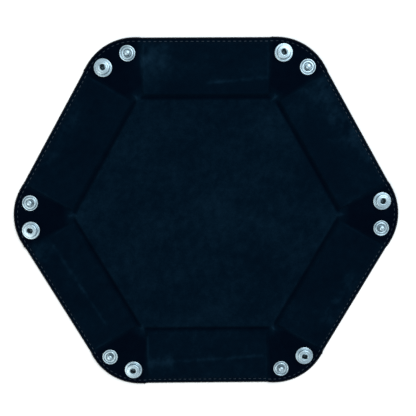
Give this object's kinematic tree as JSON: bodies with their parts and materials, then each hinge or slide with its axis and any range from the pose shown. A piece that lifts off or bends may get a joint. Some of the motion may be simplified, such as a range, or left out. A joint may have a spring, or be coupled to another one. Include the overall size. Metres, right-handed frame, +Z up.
{
  "type": "folding dice tray",
  "caption": "Hexagonal velvet and leather dice tray that lies flat and whose sides stand up when its corners are pinched and snapped.",
  "frame": {"origin": "middle of the underside of the flat tray", "axes": "+Z up, out of the rolling surface; +X through a corner, along the longest way across; +Y through the middle of a side"},
  "size_m": [0.2732, 0.247, 0.0061],
  "materials": {
    "velvet": "brushed velvet, very dark blue",
    "corner_cloth": "velvet on leather, very dark blue",
    "leather": "fine grained black",
    "board": "plain pressed board, hidden in the cloth",
    "snap_metal": "nickel plated",
    "thread": "grey blue sewing thread"
  },
  "bodies": {
    "floor": {"floor_board": "board", "floor_velvet": "velvet", "floor_leather": "leather"},
    "side_1": {"side_1_board": "board", "side_1_velvet": "velvet", "side_1_leather": "leather"},
    "side_2": {"side_2_board": "board", "side_2_velvet": "velvet", "side_2_leather": "leather"},
    "side_3": {"side_3_board": "board", "side_3_velvet": "velvet", "side_3_leather": "leather"},
    "side_4": {"side_4_board": "board", "side_4_velvet": "velvet", "side_4_leather": "leather"},
    "side_5": {"side_5_board": "board", "side_5_velvet": "velvet", "side_5_leather": "leather"},
    "side_6": {"side_6_board": "board", "side_6_velvet": "velvet", "side_6_leather": "leather"},
    "stud_half_1": {"corner_1_stud_flap": "corner_cloth", "corner_1_stud": "snap_metal", "corner_1_stud_cap": "snap_metal"},
    "socket_half_1": {"corner_1_socket_flap": "corner_cloth", "corner_1_socket": "snap_metal", "corner_1_socket_cap": "snap_metal"},
    "stud_half_2": {"corner_2_stud_flap": "corner_cloth", "corner_2_stud": "snap_metal", "corner_2_stud_cap": "snap_metal"},
    "socket_half_2": {"corner_2_socket_flap": "corner_cloth", "corner_2_socket": "snap_metal", "corner_2_socket_cap": "snap_metal"},
    "stud_half_3": {"corner_3_stud_flap": "corner_cloth", "corner_3_stud": "snap_metal", "corner_3_stud_cap": "snap_metal"},
    "socket_half_3": {"corner_3_socket_flap": "corner_cloth", "corner_3_socket": "snap_metal", "corner_3_socket_cap": "snap_metal"},
    "stud_half_4": {"corner_4_stud_flap": "corner_cloth", "corner_4_stud": "snap_metal", "corner_4_stud_cap": "snap_metal"},
    "socket_half_4": {"corner_4_socket_flap": "corner_cloth", "corner_4_socket": "snap_metal", "corner_4_socket_cap": "snap_metal"},
    "stud_half_5": {"corner_5_stud_flap": "corner_cloth", "corner_5_stud": "snap_metal", "corner_5_stud_cap": "snap_metal"},
    "socket_half_5": {"corner_5_socket_flap": "corner_cloth", "corner_5_socket": "snap_metal", "corner_5_socket_cap": "snap_metal"},
    "stud_half_6": {"corner_6_stud_flap": "corner_cloth", "corner_6_stud": "snap_metal", "corner_6_stud_cap": "snap_metal"},
    "socket_half_6": {"corner_6_socket_flap": "corner_cloth", "corner_6_socket": "snap_metal", "corner_6_socket_cap": "snap_metal"}
  },
  "joints": [
    {"name": "side_1_fold", "type": "hinge", "parent": "floor", "child": "side_1", "pos_m": [0.07145, -0.04125, 0.0009], "axis": [-0.5, -0.866, 0], "range_deg": [0, 84]},
    {"name": "side_2_fold", "type": "hinge", "parent": "floor", "child": "side_2", "pos_m": [0.07145, 0.04125, 0.0009], "axis": [0.5, -0.866, 0], "range_deg": [0, 84]},
    {"name": "side_3_fold", "type": "hinge", "parent": "floor", "child": "side_3", "pos_m": [0, 0.0825, 0.0009], "axis": [1, 0, 0], "range_deg": [0, 84]},
    {"name": "side_4_fold", "type": "hinge", "parent": "floor", "child": "side_4", "pos_m": [-0.07145, 0.04125, 0.0009], "axis": [0.5, 0.866, 0], "range_deg": [0, 84]},
    {"name": "side_5_fold", "type": "hinge", "parent": "floor", "child": "side_5", "pos_m": [-0.07145, -0.04125, 0.0009], "axis": [-0.5, 0.866, 0], "range_deg": [0, 84]},
    {"name": "side_6_fold", "type": "hinge", "parent": "floor", "child": "side_6", "pos_m": [0, -0.0825, 0.0009], "axis": [-1, 0, 0], "range_deg": [0, 84]},
    {"name": "stud_half_1_fold", "type": "hinge", "parent": "side_1", "child": "stud_half_1", "pos_m": [0.0933, -0.0034, 0.0019], "axis": [-0.8946, 0.4469, 0], "range_deg": [0, 60.2]},
    {"name": "socket_half_1_fold", "type": "hinge", "parent": "stud_half_1", "child": "socket_half_1", "pos_m": [0.09526, 0, 0.0048], "axis": [1, 0, 0], "range_deg": [0, 179.8]},
    {"name": "stud_half_2_fold", "type": "hinge", "parent": "side_2", "child": "stud_half_2", "pos_m": [0.04959, 0.0791, 0.0019], "axis": [-0.8343, -0.5513, 0], "range_deg": [0, 60.2]},
    {"name": "socket_half_2_fold", "type": "hinge", "parent": "stud_half_2", "child": "socket_half_2", "pos_m": [0.04763, 0.0825, 0.0048], "axis": [0.5, 0.866, 0], "range_deg": [0, 179.8]},
    {"name": "stud_half_3_fold", "type": "hinge", "parent": "side_3", "child": "stud_half_3", "pos_m": [-0.04371, 0.0825, 0.0019], "axis": [0.0602, -0.9982, 0], "range_deg": [0, 60.2]},
    {"name": "socket_half_3_fold", "type": "hinge", "parent": "stud_half_3", "child": "socket_half_3", "pos_m": [-0.04763, 0.0825, 0.0048], "axis": [-0.5, 0.866, 0], "range_deg": [0, 179.8]},
    {"name": "stud_half_4_fold", "type": "hinge", "parent": "side_4", "child": "stud_half_4", "pos_m": [-0.0933, 0.0034, 0.0019], "axis": [0.8946, -0.4469, 0], "range_deg": [0, 60.2]},
    {"name": "socket_half_4_fold", "type": "hinge", "parent": "stud_half_4", "child": "socket_half_4", "pos_m": [-0.09526, 0, 0.0048], "axis": [-1, 0, 0], "range_deg": [0, 179.8]},
    {"name": "stud_half_5_fold", "type": "hinge", "parent": "side_5", "child": "stud_half_5", "pos_m": [-0.04959, -0.0791, 0.0019], "axis": [0.8343, 0.5513, 0], "range_deg": [0, 60.2]},
    {"name": "socket_half_5_fold", "type": "hinge", "parent": "stud_half_5", "child": "socket_half_5", "pos_m": [-0.04763, -0.0825, 0.0048], "axis": [-0.5, -0.866, 0], "range_deg": [0, 179.8]},
    {"name": "stud_half_6_fold", "type": "hinge", "parent": "side_6", "child": "stud_half_6", "pos_m": [0.04371, -0.0825, 0.0019], "axis": [-0.0602, 0.9982, 0], "range_deg": [0, 60.2]},
    {"name": "socket_half_6_fold", "type": "hinge", "parent": "stud_half_6", "child": "socket_half_6", "pos_m": [0.04763, -0.0825, 0.0048], "axis": [0.5, -0.866, 0], "range_deg": [0, 179.8]}
  ],
  "couplings": [
    {"joint": "side_2_fold", "follows": "side_1_fold", "ratio": 1},
    {"joint": "side_3_fold", "follows": "side_1_fold", "ratio": 1},
    {"joint": "side_4_fold", "follows": "side_1_fold", "ratio": 1},
    {"joint": "side_5_fold", "follows": "side_1_fold", "ratio": 1},
    {"joint": "side_6_fold", "follows": "side_1_fold", "ratio": 1},
    {"joint": "stud_half_1_fold", "follows": "side_1_fold", "ratio": 0.71644},
    {"joint": "socket_half_1_fold", "follows": "side_1_fold", "ratio": 2.14},
    {"joint": "stud_half_2_fold", "follows": "side_1_fold", "ratio": 0.71644},
    {"joint": "socket_half_2_fold", "follows": "side_1_fold", "ratio": 2.14},
    {"joint": "stud_half_3_fold", "follows": "side_1_fold", "ratio": 0.71644},
    {"joint": "socket_half_3_fold", "follows": "side_1_fold", "ratio": 2.14},
    {"joint": "stud_half_4_fold", "follows": "side_1_fold", "ratio": 0.71644},
    {"joint": "socket_half_4_fold", "follows": "side_1_fold", "ratio": 2.14},
    {"joint": "stud_half_5_fold", "follows": "side_1_fold", "ratio": 0.71644},
    {"joint": "socket_half_5_fold", "follows": "side_1_fold", "ratio": 2.14},
    {"joint": "stud_half_6_fold", "follows": "side_1_fold", "ratio": 0.71644},
    {"joint": "socket_half_6_fold", "follows": "side_1_fold", "ratio": 2.14}
  ]
}
